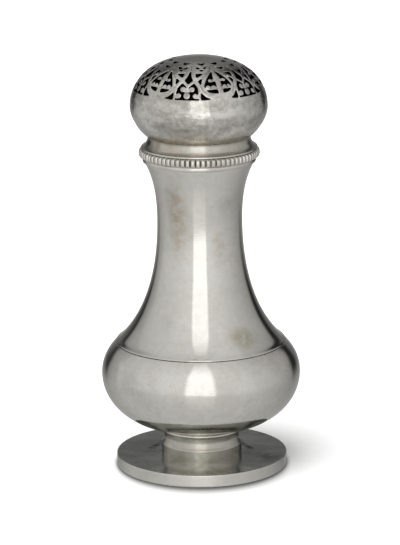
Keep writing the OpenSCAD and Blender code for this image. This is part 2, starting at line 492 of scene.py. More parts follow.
silver_collar = silver(
    "silver_collar",
    (0.70, 0.68, 0.63),
    (0.54, 0.515, 0.465),
    rough=(0.18, 0.30),
    patch=0.06,
    # the marks at -58 and -72 are painted shadow at the collar's left end; the two brown marks are tarnish
    stains_and_shade=((22.3, -34, 144, 8, 4, 0.7, BROWN), (22.3, 40, 144, 8, 4, 0.3, BROWN), (22.5, -58, 143.5, 9, 5, 0.9, (0.34, 0.295, 0.235)), (22.5, -72, 144, 6, 4, 1.4, (0.16, 0.135, 0.10))),
    # a ring of tarnish and painted shade in the crease under the dome
    rings=((145.9, 1.6, 0.7, (0.30, 0.265, 0.215)),),
    scratches=0.02,
    turned=0.02,
)
silver_foot = silver(
    "silver_foot",
    (0.73, 0.72, 0.685),
    (0.64, 0.625, 0.585),
    rough=(0.22, 0.32),
    scratches=0.015,
    turned=0.015,
)
silver_stem = silver(
    "silver_stem",
    (0.60, 0.575, 0.525),
    (0.49, 0.465, 0.415),
    rough=(0.20, 0.28),
    patch=0.06,
    rings=((5.4, 5.0, 0.6, (0.42, 0.385, 0.335)),),
    stains_and_shade=(
        (17, -100, 14.5, 4, 2.5, 0.9, BLACK),
        (17, 95, 14.5, 4, 2.5, 0.9, BLACK),
    ),
    scratches=0.012,
    turned=0.004,
)
silver_plate = silver(
    "silver_plate",
    (0.64, 0.66, 0.62),
    (0.40, 0.412, 0.385),
    rough=(0.11, 0.20),
    patch=0.07,
    mottle=0.3,
    specks=0.5,
    stains_and_shade=(
        # the black and dark marks round the stem's foot are painted shade where the stem meets the plate under the
        # bowl, and painted reflected dark lines running out from the stem's sides
        (19.6, 125, 5.2, 1.8, 3, 2.6, BLACK),
        (19.6, 118, 5.2, 2.0, 3, 2.8, BLACK),
        (19.8, 111, 5.2, 2.1, 3, 2.8, BLACK),
        (20.6, 103, 5.2, 2.1, 3, 2.8, BLACK),
        (21.4, 96, 5.2, 1.9, 3, 2.6, BLACK),
        (21.4, -128, 5.2, 2.4, 3, 2.0, BLACK),
        (21.2, -118, 5.2, 2.4, 3, 1.7, BLACK),
        (21.4, -109, 5.2, 2.6, 3, 1.6, BLACK),
        (22.1, -100, 5.2, 2.6, 3, 1.5, BLACK),
        (22, -85, 5.2, 9, 3, 0.5, (0.13, 0.135, 0.125)),
        (22, 82, 5.2, 9, 3, 0.5, (0.13, 0.135, 0.125)),
        (31, 70, 5.2, 8, 3, 0.8, BLACK),
        (33, 60, 5.2, 5, 3, 0.7, BLACK),
    ),
    scratches=0.03,
    turned=0.03,
)
silver_inside = oxidised("silver_inside", (0.40, 0.38, 0.34), 0.42)
groove_tarnish = oxidised("groove_tarnish", (0.44, 0.415, 0.37), 0.42)
engraving = oxidised("engraving", (0.19, 0.18, 0.155), 0.38)
# nearly black: oxide inside the cover, made darker still as painted shade seen through the openings and on their
# deep walls
dome_inside_shade = oxidised("dome_inside_shade", (0.055, 0.05, 0.044), 0.6)

PIECES = []


def place(obj, node, body, slot, *mats):
    for m in mats:
        obj.data.materials.append(m)
    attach(obj, body)
    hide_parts(node)
    PIECES.append(obj)
    return obj


# ---------------------------------------------------------------- foot

rim = outline(
    (35.0, 0.0, 0.25),
    (37.0, 0.0, 0.45),
    line((37.0, 0.8), (37.0, 4.0), 5),
    (35.0, 4.0),
)
place(
    lathe(
        "foot_edge",
        rim,
        ripple=Ripple(11, 0.012, 9, 40),
        skin=lambda r, z, n: 1.0 if r > 36.9 and 0.7 < z < 3.9 else 0.0,
        inner=lambda r, z, n: n < -0.5,
    ),
    "foot_rim",
    "body",
    "silver_foot",
    silver_foot,
    silver_inside,
)
top = outline(
    (15.4, 4.0),
    (37.0, 4.0),
    (37.0, 5.2, 0.45),
    line((36.2, 5.2), (17.2, 5.2), 26),
    (15.4, 5.2),
)
place(
    lathe(
        "foot_top",
        top,
        ripple=Ripple(12, 0.012, 8, 40),
        skin=lambda r, z, n: min(1.0, max(0.0, (36.0 - r) / 2))
        if z > 5.19 and r > 22
        else 0.0,
        inner=lambda r, z, n: 1 if z < 4.01 else 2 if r > 36.4 else 0,
    ),
    "foot_plate",
    "body",
    "silver_foot",
    silver_plate,
    silver_inside,
    silver_foot,
)
stem = outline(
    line((17.45, 5.2), (17.5, 9.3), 8),
    cubic([(17.5, 9.3), (17.52, 9.55), (17.5, 9.75), (17.34, 10.0)], 8)[1:],
    cubic([(17.34, 10.0), (16.7, 11.0), (15.6, 12.9), (17.1, 15.6)], 36)[1:],
    (16.7, 15.6),
    (16.7, 18.2),
    (15.4, 18.2),
    (15.4, 5.2),
)
place(
    lathe(
        "foot_stem_tube",
        stem,
        ripple=Ripple(13, 0.012, 6, 25),
        skin=lambda r, z, n: 1.0 if n > 0.2 and 6 < z < 15 else 0.0,
        inner=lambda r, z, n: n < -0.5,
    ),
    "foot_stem",
    "body",
    "silver_foot",
    silver_stem,
    silver_inside,
)
ring = outline(
    (16.7, 15.55),
    cubic([(17.3, 15.55), (18.35, 15.6), (18.45, 16.8), (17.9, 16.9)], 14),
    cubic([(17.9, 16.9), (19.25, 16.9), (19.35, 18.0), (18.6, 18.15)], 14)[1:],
    (16.7, 18.15),
)
place(
    lathe("bowl_ring_beads", ring, sharp=60),
    "bowl_ring",
    "body",
    "silver_mounts",
    silver_mounts,
)

# ---------------------------------------------------------------- body

SEAM = np.array((36.5, 55.4))
T = np.array((-0.737, 0.676))  # along the surface, upwards
N = np.array((0.676, 0.737))  # out of it


def seam(along, out):
    return tuple(SEAM + along * T + out * N)


WALL = 0.9
under = cubic([(43, 41.5), (43, 28), (30.5, 19.3), (19.2, 18.2)], 56)[::-1]
over = cubic([(43, 41.5), (43, 47.5), (40, 52.1), (36.5, 55.4)], 30)
bowl_out = np.concatenate([under, over[1:-1]])
bowl_in = (bowl_out - WALL * side(bowl_out))[1:-1:3]
bowl = outline(
    (0.0, 18.2),
    line((4, 18.2), (18.0, 18.2), 4),
    bowl_out,
    np.array([seam(-0.5, 0.0), seam(-0.27, -0.07), seam(-0.13, -0.24), seam(-0.09, -0.42)]),
    seam(-0.09, -0.66),
    bowl_in[::-1],
    line((18.0, 19.1), (4, 19.1), 4),
    (0.0, 19.1),
)
place(
    lathe(
        "bowl_shell",
        bowl,
        ripple=Ripple(21, 0.03, 8, 40),
        skin=lambda r, z, n: min(1.0, max(0.0, (54.0 - z) / 4)) if z > 19.5 else 0.0,
        inner=lambda r, z, n: any(np.hypot(*(bowl_in - (r, z)).T) < 0.45)
        or (r < 18.5 and z > 18.6),
        sharp=70,
    ),
    "body_bowl",
    "body",
    "silver_body",
    silver_bowl,
    silver_inside,
)

low = cubic([(36.5, 55.4), (23, 67.5), (18.3, 88), (18.3, 109)], 90)
high = cubic([(18.3, 109), (18.3, 117), (19, 125), (22.5, 132.5)], 40)
neck_out = np.concatenate([low, high[1:], [(23.0, 133.55), (23.4, 134.4)]])
far = np.concatenate(
    [[0], np.cumsum(np.linalg.norm(np.diff(neck_out, axis=0), axis=1))]
)
lift = 0.34 * np.exp(-((far / 1.7) ** 2))
neck_top = neck_out + lift[:, None] * side(neck_out)
neck_in = (neck_out - WALL * side(neck_out))[2:-2:4]
neck = outline(
    np.array([seam(-0.02, -0.55), seam(-0.02, 0.06), seam(0.03, 0.2), seam(0.14, 0.29), seam(0.32, 0.325)]),
    neck_top[1:],
    line((23.4, 135.0), (23.4, 140.1), 3),
    (22.5, 140.1),
    (22.5, 134.0),
    neck_in[::-1],
    seam(0.1, -0.62),
)
place(
    lathe(
        "neck_shell",
        neck,
        ripple=Ripple(22, 0.02, 9, 50),
        skin=lambda r, z, n: min(1.0, max(0.0, (z - 56.5) / 4)) if z < 134 else 0.0,
        inner=lambda r, z, n: n < -0.2 and z > 55.6,
        sharp=70,
    ),
    "body_neck",
    "body",
    "silver_body",
    silver_body,
    silver_inside,
)
seat = outline(
    (20.65, 134.0, 0.2), (22.5, 134.0), (22.5, 140.1, 0.15), (20.65, 140.1, 0.3)
)
place(
    lathe("mouth_seat", seat),
    "mouth_ring",
    "body",
    "silver_inside",
    silver_inside,
)
fillet = outline((23.4, 134.4), bead(23.65, 24.35, 134.4, 136.6, 16), (23.4, 136.6))
place(
    lathe("rim_fillet_bead", fillet, sharp=60),
    "rim_fillet",
    "body",
    "silver_mounts",
    silver_mounts,
)

# Milled band: upright ribs with narrow grooves between them
RIBS, STEPS = 72, 16
band = np.concatenate(
    [
        [(23.4, 136.7), (24.45, 136.7), (24.72, 136.74), (24.95, 136.82), (25.2, 136.94), (25.45, 137.12), (25.6, 137.32), (25.67, 137.6)],
        line((25.7, 137.9), (25.7, 138.9), 3),
        [(25.67, 139.2), (25.6, 139.48), (25.45, 139.68), (25.2, 139.86), (24.95, 139.98), (24.72, 140.06), (24.45, 140.1), (23.4, 140.1)],
    ]
)
bn = RIBS * STEPS
turn = np.arange(bn) / bn * 2 * math.pi
count = turn * RIBS / (2 * math.pi) + 0.5 + 1.3 / 5.0
u = count % 1.0 - 0.5  # 0 on the middle of a rib
rng = np.random.default_rng(31)
each = rng.uniform(0.85, 1.1, RIBS)[np.floor(count).astype(int) % RIBS]
groove = np.exp(-(((0.5 - np.abs(u)) / 0.17) ** 2)) * each
deep = np.array([max(0.0, min(1.0, (r - 24.6) / 0.7)) for r, z in band])
rr = band[:, 0][:, None] + deep[:, None] * (0.16 - 0.75 * groove - 0.25 * u * u)[None, :]
verts = around(rr, band[:, 1][:, None], turn[None, :]).reshape(-1, 3)
faces, index = [], []
hollow = 0.5 * (groove + np.roll(groove, -1)) > 0.5
for i in range(len(band)):
    k = (i + 1) % len(band)
    a = i * bn + np.arange(bn)
    e = k * bn + np.arange(bn)
    faces += np.stack([a, np.roll(a, -1), np.roll(e, -1), e], 1).tolist()
    index += (hollow & (min(deep[i], deep[k]) > 0.3)).astype(int).tolist()
place(
    make("milled_ribs", verts, faces, index, sharp=75),
    "milled_band",
    "body",
    "silver_mounts",
    silver_mounts,
    groove_tarnish,
)

# ---------------------------------------------------------------- cover

sleeve = outline(
    (19.8, 132.0, 0.25), (20.6, 132.0, 0.25), (20.6, 141.2), (19.8, 141.2, 0.2)
)
place(
    lathe("sleeve_tube", sleeve),
    "cover_sleeve",
    "cover",
    "silver_inside",
    silver_inside,
)
lip = outline((20.6, 140.2), bead(24.35, 24.95, 140.2, 141.2, 14), (20.6, 141.2))
place(
    lathe("lip_bead", lip, sharp=60),
    "cover_lip",
    "cover",
    "silver_mounts",
    silver_mounts,
)
collar_out = cubic([(24.4, 141.2), (22.8, 142.1), (21.9, 143.7), (22.05, 145.6)], 26)
collar_in = (collar_out - WALL * side(collar_out))[4:-1:4]
collar = outline(collar_out, (21.15, 145.6), collar_in[::-1], (22.9, 141.2))
place(
    lathe(
        "collar_ring",
        collar,
        ripple=Ripple(41, 0.015, 6, 22),
        skin=lambda r, z, n: 1.0 if n > 0 and 142 < z < 145 else 0.0,
        inner=lambda r, z, n: n < -0.4,
        sharp=60,
    ),
    "cover_collar",
    "cover",
    "silver_mounts",
    silver_collar,
    dome_inside_shade,
)

# -- pierced dome. The pattern is drawn on a flat map of the dome that keeps
#    angles: X is degrees from the axis of a three-lobed motif, folded to 0..30,
#    and Y is height on the map, 0 near the foot of the pattern.

dome_low = cubic([(22.05, 145.6), (25.3, 148), (29.4, 153.5), (29.4, 158.5)], 40)
dome_high = cubic([(29.4, 158.5), (29.4, 170), (20, 179.8), (0, 179.8)], 900)
TURN = -10.5
PITCH = math.pi / 180

hr, hz = dome_high.T
step = np.linalg.norm(np.diff(dome_high, axis=0), axis=1)
ym = np.concatenate([[0], np.cumsum(step[:-1] / (0.5 * (hr[1:-1] + hr[:-2])))]) / PITCH
ym -= np.interp(165.8, hz[:-1], ym)
rho = np.append(np.exp(-ym * PITCH), 0.0)  # radius on the flat map, 1 where Y = 0
hn = side(dome_high)
hn[-1] = (0.0, 1.0)


def on_dome(radius):
    """r, z and outline normal of the dome at a radius on the flat map."""
    back = rho[::-1]
    return (
        np.interp(radius, back, hr[::-1]),
        np.interp(radius, back, hz[::-1]),
        np.interp(radius, back, hn[::-1, 0]),
        np.interp(radius, back, hn[::-1, 1]),
    )


def to_line(x, y, a, b):
    ax, ay = a
    bx, by = b
    dx, dy = bx - ax, by - ay
    t = np.clip(((x - ax) * dx + (y - ay) * dy) / (dx * dx + dy * dy), 0, 1)
    return np.hypot(x - ax - t * dx, y - ay - t * dy), t


def smooth_line(p, n=6):
    """A rounded run through points, by a spline that passes through them."""
    p = np.array(p, float)
    q = np.concatenate([[2 * p[0] - p[1]], p, [2 * p[-1] - p[-2]]])
    out = []
    for i in range(1, len(q) - 2):
        for t in np.arange(n) / n:
            out.append(
                0.5
                * (
                    2 * q[i]
                    + (q[i + 1] - q[i - 1]) * t
                    + (2 * q[i - 1] - 5 * q[i] + 4 * q[i + 1] - q[i + 2]) * t * t
                    + (3 * q[i] - q[i - 1] - 3 * q[i + 1] + q[i + 2]) * t**3
                )
            )
    out.append(p[-1])
    return np.array(out)


def stroke(x, y, p, n=5):
    """How far inside a band a point lies; p lists centre points and half widths."""
    p = smooth_line(p, n)
    best = np.full(x.shape, -1e9)
    for a, b in zip(p, p[1:]):
        d, t = to_line(x, y, a[:2], b[:2])
        best = np.maximum(best, a[2] + (b[2] - a[2]) * t - d)
    return best


def ball(x, y, cx, cy, r):
    return r - np.hypot(x - cx, y - cy)


def inside(x, y, p):
    """Signed distance to a closed outline, positive inside."""
    p = np.array(p, float)
    d = np.full(x.shape, 1e9)
    odd = np.zeros(x.shape, bool)
    for i in range(len(p)):
        a, b = p[i - 1], p[i]
        d = np.minimum(d, to_line(x, y, a, b)[0])
        if a[1] != b[1]:
            cross = (a[1] > y) != (b[1] > y)
            odd ^= cross & (x < (b[0] - a[0]) * (y - a[1]) / (b[1] - a[1]) + a[0])
    return np.where(odd, d, -d)


def join(a, b, k=0.7):
    """Union with a small fillet in the corner."""
    h = np.maximum(k - np.abs(a - b), 0.0) / k
    return np.maximum(a, b) + h * h * k * 0.25


def winged(x, y, top, right, left):
    """A three-pointed opening with bowed sides."""
    sides = [smooth_line(top), smooth_line(right), smooth_line(left)]
    return inside(x, y, np.concatenate([q[:-1] for q in sides]))


def metal(x, y, front):
    """Positive where the dome is metal; x is folded to 0..30. The openings of the
    middle row hold a scroll at the front, which differs left (-1) and right (1),
    and are plain elsewhere (0)."""
    f = inside(
        x,
        y,
        [(-6, 41), (0, 38), (3.5, 35), (7, 33.6), (10, 33.2), (13, 33), (16, 33.2), (19, 34.8), (22, 37.2), (28.5, 40), (36, 42.5), (36, 2000), (-6, 2000)],
    )
    upper = winged(
        x,
        y,
        [(7, 68.5), (11, 65.8), (15.5, 65), (20, 66), (24, 69.5)],
        [(24, 69.5), (22.5, 64), (19, 58.5), (16, 55.5)],
        [(16, 55.5), (12.5, 59), (8.5, 62.5), (7, 68.5)],
    )
    lower = winged(
        x,
        y,
        [(5.4, 51), (9.5, 48.8), (14, 48.2), (18.6, 49), (23.8, 51.4)],
        [(23.8, 51.4), (21.4, 46), (18, 41.5), (14.4, 36.8)],
        [(14.4, 36.8), (11, 41.2), (7.2, 45), (5.4, 51)],
    )
    bare = winged(
        x,
        y,
        [(7.2, 48.4), (11, 47), (14.4, 46.6), (18, 47), (21.8, 48.6)],
        [(21.8, 48.6), (19.6, 45), (17, 42.4), (14.6, 40.6)],
        [(14.6, 40.6), (12, 42.6), (9.2, 45), (7.2, 48.4)],
    )
    f = np.minimum(f, -upper)
    scroll = np.minimum(f, -lower)
    scroll = join(scroll, ball(x, y, 14.2, 49.2, 2.2))
    curl = join(scroll, ball(x, y, 13.6, 48.4, 3.6), 0.4)
    curl = join(curl, stroke(x, y, [(8.4, 40.6, 0.9), (12, 42.4, 0.9), (15.6, 42.7, 0.7), (17.6, 42.2, 0.4)]), 0.2)
    scroll = join(scroll, ball(x, y, 14.8, 45.6, 3.4), 0.3)
    scroll = join(scroll, stroke(x, y, [(9.4, 41.2, 0.9), (14.4, 44.2, 1.4), (19.6, 41.6, 0.9)]), 0.3)
    f = np.where(front == 0, np.minimum(f, -bare), np.where(front < 0, curl, scroll))
    # arch leg that sweeps under the loop, and the band that crosses it
    f = join(f, stroke(x, y, [(3.6, 43, 2.8), (4.0, 36, 2.9), (4.5, 30, 2.6), (5.8, 25.5, 2.3), (7.7, 21, 2.1), (10.6, 16, 2.0), (13.8, 11.2, 1.9), (16.6, 7.9, 2.2), (20.2, 5.1, 2.5), (25, 4.1, 2.3), (31, 3.7, 2.1)]))
    f = join(f, stroke(x, y, [(0, 14.6, 1.4), (2.5, 17, 1.4), (5, 19.4, 1.5), (8.6, 22.8, 1.9), (11.3, 25.1, 2.1), (14.5, 27.8, 2.1), (18.4, 31.4, 2.1), (26, 38.8, 2.5)]))
    # inner band of the loop
    f = join(f, stroke(x, y, [(26.8, 40, 1.8), (21.6, 32, 2.1), (17.9, 25.5, 2.2), (16.2, 20.5, 1.8), (15.2, 16.5, 1.4), (15.5, 12.3, 1.3), (18, 8, 1.3), (23, 5.5, 1.2), (29, 4.4, 1.2)]))
    # leaf stem inside the loop, with its curls and lobes
    f = join(f, stroke(x, y, [(30, 41, 1.2), (30, 36, 2.0), (30, 30, 2.9), (30, 26, 3.4), (30, 22.6, 2.9), (30, 18.5, 2.3), (30, 12, 2.3), (30, 8, 1.9), (30, 4, 1.4)]))
    f = join(f, stroke(x, y, [(28.6, 22.8, 2.0), (26.2, 21.5, 1.3), (24.4, 20.5, 1.3)]), 0.3)
    f = join(f, ball(x, y, 22.9, 21.3, 2.2), 0.2)
    f = join(f, ball(x, y, 19.9, 13.4, 1.95), 0.1)
    f = join(f, ball(x, y, 24.7, 13.1, 2.05), 0.1)
    f = join(f, stroke(x, y, [(16.4, 11.8, 0.5), (19, 11.5, 0.8), (22.3, 11.3, 0.8), (26, 11.4, 0.8), (28.4, 11.6, 1.0)]), 0.2)
    # hanging motif, and the curl at the foot of the arch leg
    f = join(f, stroke(x, y, [(0, 15.2, 1.2), (0, 12, 1.1), (0, 8, 1.3)]), 0.4)
    f = join(f, ball(x, y, 4.5, 11.2, 2.65), 0.2)
    f = join(f, ball(x, y, 0, 8.9, 2.1), 0.3)
    f = join(f, ball(x, y, 0, 4.8, 3.0), 0.3)
    f = join(f, stroke(x, y, [(11.6, 12, 1.2), (11.8, 8.6, 1.0), (11.8, 5.4, 1.0), (11, 3.7, 0.9), (9.4, 3.0, 0.9)]), 0.3)
    f = join(f, stroke(x, y, [(11.9, 5, 0.7), (12.1, 2.5, 0.6), (12.3, -1, 0.7)]), 0.2)
    f = join(f, ball(x, y, 7.9, 4.6, 2.35), 0.1)
    rise = np.clip((x - 14) / 11, 0, 1)
    return join(f, 0.5 + 1.8 * rise * rise - y, 0.2) + 0.3


dome_wave = Ripple(51, 0.03, 3.0, 10, 60)
dome_bulge = Ripple(52, 0.03, 12, 40)


def dent(p):
    """Planishing marks, stronger on the plain lower half."""
    w = np.clip((166.5 - p[..., 2]) / 5, 0.25, 1.0)
    return dome_wave(p) * w + dome_bulge(p)


def dent_slope(p):
    w = np.clip((166.5 - p[..., 2]) / 5, 0.25, 1.0)
    return dome_wave.slope(p) * w[..., None] + dome_bulge.slope(p)


def shell(r, z, nr, nz, phi, depth):
    """Points and normals on the dome sheet, at a depth below its surface."""
    n = around(nr, nz, phi)
    p = around(r, z, phi)
    g = dent_slope(p)
    g -= (g * n).sum(-1)[..., None] * n
    pos = p + (dent(p) - depth)[..., None] * n
    m = n - g
    return pos, m / np.linalg.norm(m, axis=-1)[..., None]


def sawn(phi, y):
    """Slight unevenness of the hand-cut pattern, in degrees."""
    a = phi * PITCH
    behind = np.clip((-np.cos(a) - 0.1) / 0.6, 0, 1)
    y = y - 4.0 * behind * behind * (3 - 2 * behind)
    aside = (phi + 180) % 360 - 180 - 24
    lean = -2.3 * np.exp(-((aside / 11) ** 2)) * np.clip(1 - y / 45, 0, 1)
    dx = lean + 0.35 * np.sin(3 * a + 0.7 + y / 21) + 0.22 * np.sin(7 * a + 2.1 - y / 13)
    dy = 0.32 * np.sin(4 * a + 1.9 + y / 17) + 0.22 * np.sin(9 * a + 0.4)
    return phi + dx, y + dy * np.clip(y / 6, 0, 1)


def folded(phi, y):
    p, q = sawn(phi, y)
    turn = (p - TURN + 180) % 360 - 180
    side_of = np.where(np.abs(turn) < 30, np.where(turn < 0, -1, 1), 0)
    return np.abs((turn + 30) % 60 - 30), q, side_of


def field(phi, y):
    return metal(*folded(phi, y))


# engraved lines that part the bands, the scrolls and the lobes
LINE = 0.46  # half their width, in degrees
LINES = [
    [(15, 23.4), (17, 26.6), (19.6, 30.2), (22.6, 34.2), (26, 38.6), (27.8, 43), (28.6, 48)],
    [(12.9, 15), (13.8, 12.4), (15.6, 9.6), (17.8, 7.7)],
    [(22.3, 14), (22.2, 11.6)],
    [(27.2, 14.6), (27.5, 11.4)],
    [(25.3, 22.8), (25, 21.3), (24, 20.2)],
    [(0, 7.5), (1.9, 8.3)],
    [(0, 39), (0, 47)],
]


def to_lines(x, y):
    best = np.full(x.shape, 1e9)
    for run in LINES:
        run = smooth_line(run, 4)
        for a, b in zip(run, run[1:]):
            best = np.minimum(best, to_line(x, y, a, b)[0])
    return best


def relief(phi, y):
    """Depth below the sheet's surface in mm, at the softened edges and in the
    engraved lines, and how far into a line a point lies."""
    x, q, front = folded(phi, y)
    near = np.clip(1 - metal(x, q, front) / 1.6, 0, 1)
    line_w = np.clip(1 - to_lines(x, q) / LINE, 0, 1)
    return 0.15 * near * near + 0.13 * line_w * line_w * (3 - 2 * line_w), line_w


def polar(p):
    far = np.maximum(np.hypot(p[:, 0], p[:, 1]), 1e-6)
    return np.degrees(np.arctan2(p[:, 0], -p[:, 1])), -np.log(far) / PITCH


def flatten(phi, y):
    far = np.exp(-y * PITCH)
    return np.stack([far * np.sin(phi * PITCH), -far * np.cos(phi * PITCH)], 1)


GX, GY = 0.4, 0.4
gp = np.arange(0, 360, GX)
gy = np.arange(-1.0, 74.0, GY)
F = field(gp[None, :] + 0 * gy[:, None], gy[:, None] + 0 * gp[None, :])
F = np.where(np.abs(F) < 1e-6, 1e-6, F)

# outlines of the openings, as closed runs through the crossings of the grid
crossing, links = {}, {}
ny, nx = F.shape
sgn = F > 0
cells = (
    (sgn[:-1] != sgn[1:])
    | (sgn[:-1] != np.roll(sgn, -1, 1)[:-1])
    | (sgn[1:] != np.roll(sgn, -1, 1)[1:])
    | (np.roll(sgn, -1, 1)[:-1] != np.roll(sgn, -1, 1)[1:])
)


def cut(kind, i, j):
    key = (kind, i, j % nx)
    if key not in crossing:
        if kind == 0:
            a, b = F[i, j % nx], F[i, (j + 1) % nx]
            crossing[key] = (gp[j % nx] + GX * a / (a - b), gy[i])
        else:
            a, b = F[i, j % nx], F[i + 1, j % nx]
            crossing[key] = (gp[j % nx], gy[i] + GY * a / (a - b))
    return key


def link(a, b):
    links.setdefault(a, []).append(b)
    links.setdefault(b, []).append(a)


for i, j in zip(*np.nonzero(cells)):
    i, j = int(i), int(j)
    s00, s01 = sgn[i, j], sgn[i, (j + 1) % nx]
    s10, s11 = sgn[i + 1, j], sgn[i + 1, (j + 1) % nx]
    found = []
    if s00 != s01:
        found.append(cut(0, i, j))
    if s01 != s11:
        found.append(cut(1, i, j + 1))
    if s10 != s11:
        found.append(cut(0, i + 1, j))
    if s00 != s10:
        found.append(cut(1, i, j))
    if len(found) == 2:
        link(*found)
    elif len(found) == 4:
        middle = F[i, j] + F[i, (j + 1) % nx] + F[i + 1, j] + F[i + 1, (j + 1) % nx]
        if (middle > 0) == s00:
            link(found[0], found[1])
            link(found[2], found[3])
        else:
            link(found[3], found[0])
            link(found[1], found[2])

loops, left = [], set(links)
while left:
    start = min(left)
    run, prev, here = [start], None, start
    left.discard(start)
    while True:
        ahead = [k for k in links[here] if k != prev]
        nxt = ahead[0] if ahead else None
        if nxt is None or nxt == start:
            break
        run.append(nxt)
        left.discard(nxt)
        prev, here = here, nxt
    pts = np.array([crossing[k] for k in run])
    phi = pts[:, 0] * PITCH
    radius = np.exp(-pts[:, 1] * PITCH)
    loops.append(np.stack([radius * np.sin(phi), -radius * np.cos(phi)], 1))

SCALE = float(np.interp(0.8, rho[::-1], (hr / np.maximum(rho, 1e-9))[::-1]))  # mm
EDGE = 0.14 / SCALE  # rounding of the sawn edges on the flat map
SHEET = 1.3  # thickness where the dome is pierced


def relaxed(p, times):
    for _ in range(times):
        p = 0.5 * p + 0.25 * (np.roll(p, 1, 0) + np.roll(p, -1, 0))
    return p


def even(p, gap):
    closed = np.concatenate([p, p[:1]])
    at = np.concatenate([[0], np.cumsum(np.linalg.norm(np.diff(closed, axis=0), axis=1))])
    n = max(8, int(round(at[-1] / gap)))
    t = np.arange(n) / n * at[-1]
    return np.stack([np.interp(t, at, closed[:, 0]), np.interp(t, at, closed[:, 1])], 1)


holes = []
for p in loops:
    p = relaxed(even(p, 0.12 / SCALE), 4)
    area = 0.5 * np.sum(p[:, 0] * np.roll(p[:, 1], -1) - np.roll(p[:, 0], -1) * p[:, 1])
    if abs(area) * SCALE**2 < 0.05:
        continue
    if area < 0:
        p = p[::-1]
    p = even(p, 0.3 / SCALE)
    d = np.roll(p, -1, 0) - np.roll(p, 1, 0)
    d /= np.linalg.norm(d, axis=1)[:, None]
    out = np.stack([d[:, 1], -d[:, 0]], 1)  # from the opening into the metal
    holes.append((p, relaxed(p + EDGE * out, 1)))

# triangles between the openings
RIM_Y = -4.0
rim_rho = math.exp(-RIM_Y * PITCH)
ring_phi = np.arange(SEG) / SEG * 2 * math.pi
flat = [np.stack([rim_rho * np.sin(ring_phi), -rim_rho * np.cos(ring_phi)], 1)]
edges = [(j, (j + 1) % SEG) for j in range(SEG)]
begin, spans = SEG, []
for p, q in holes:
    n = len(q)
    flat.append(q)
    spans.append((begin, n))
    edges += [(begin + i, begin + (i + 1) % n) for i in range(n)]
    begin += n
gap = 0.95 / SCALE
inner = []
for row in range(int(-rim_rho / gap) - 2, int(rim_rho / gap) + 3):
    for col in range(int(-rim_rho / gap) - 3, int(rim_rho / gap) + 4):
        a, b = (col + 0.5 * (row % 2)) * gap, row * gap * 0.866
        if math.hypot(a, b) < rim_rho - 0.6 * gap:
            inner.append((a, b))
inner = np.array(inner)
x, q, front = folded(*polar(inner))
flat.append(inner[(metal(x, q, front) > 2.1) & (to_lines(x, q) > 1.3)])
# closer points along the softened edges
for p, q in holes:
    out = q - p
    out /= np.linalg.norm(out, axis=1)[:, None]
    for far, skip in ((0.40, 1), (0.80, 2)):
        w = (p + far / SCALE * out)[::skip]
        wanted = far / (SCALE * np.hypot(w[:, 0], w[:, 1]) * PITCH)
        x, y, front = folded(*polar(w))
        flat.append(w[(metal(x, y, front) > 0.85 * wanted) & (to_lines(x, y) > 2.2 * LINE)])
# and along the engraved lines
for run in LINES:
    run = smooth_line(run, 8)
    at = np.concatenate([[0], np.cumsum(np.linalg.norm(np.diff(run, axis=0), axis=1))])
    t = np.linspace(0, at[-1], max(3, int(at[-1] / 0.8)))
    run = np.stack([np.interp(t, at, run[:, 0]), np.interp(t, at, run[:, 1])], 1)
    out = side(run)
    for off in (-1.0, -0.5, 0.0, 0.5, 1.0):
        w = run + off * LINE * out
        w = w[(w[:, 0] > 0.02) & (w[:, 0] < 29.98)]
        for k in range(6):
            for way in (1, -1):
                p, q = TURN + 60 * k + way * w[:, 0], w[:, 1]
                a, b = p.copy(), q.copy()
                for _ in range(12):
                    c, e = sawn(a, b)
                    a, b = a + p - c, b + q - e
                ok = (field(a, b) > 0.62) & (b > -3)
                flat.append(flatten(a[ok], b[ok]))
flat = np.concatenate(flat)
v2, e2, f2, ov, oe, of_ = delaunay_2d_cdt(
    [tuple(map(float, p)) for p in flat], edges, [], 0, 1e-9
)
new = {}
for i, olds in enumerate(ov):
    for o in olds:
        new[o] = i
fence = {frozenset((new[a], new[b])) for a, b in edges}
beside = {}
for k, tri in enumerate(f2):
    for a, b in zip(tri, tri[1:] + tri[:1]):
        beside.setdefault(frozenset((a, b)), []).append(k)
v2 = np.array([tuple(v) for v in v2])
crown = int(np.argmin([np.hypot(*v2[list(t)].mean(0)) for t in f2]))
reached, todo = {crown}, [crown]
while todo:
    tri = f2[todo.pop()]
    for a, b in zip(tri, tri[1:] + tri[:1]):
        e = frozenset((a, b))
        if e not in fence:
            for k in beside[e]:
                if k not in reached:
                    reached.add(k)
                    todo.append(k)
tris = np.array([f2[k] for k in sorted(reached)])
ab = v2[tris[:, 1]] - v2[tris[:, 0]]
ac = v2[tris[:, 2]] - v2[tris[:, 0]]
flip = ab[:, 0] * ac[:, 1] - ab[:, 1] * ac[:, 0] < 0
tris[flip] = tris[flip][:, ::-1]
used = np.unique(tris)
pack = -np.ones(len(v2), int)
pack[used] = np.arange(len(used))
v2 = v2[used]
tris = pack[tris]
new = {o: int(pack[i]) for o, i in new.items()}


def mapped(p, depth):
    radius = np.hypot(p[:, 0], p[:, 1])
    phi = np.arctan2(p[:, 0], -p[:, 1])
    r, z, nr, nz = on_dome(radius)
    return shell(r, z, nr, nz, phi, depth)


V, NRM, FACES, INDEX = [], [], [], []


def put(pos, nrm):
    start = sum(len(v) for v in V)
    V.append(pos)
    NRM.append(nrm)
    return start


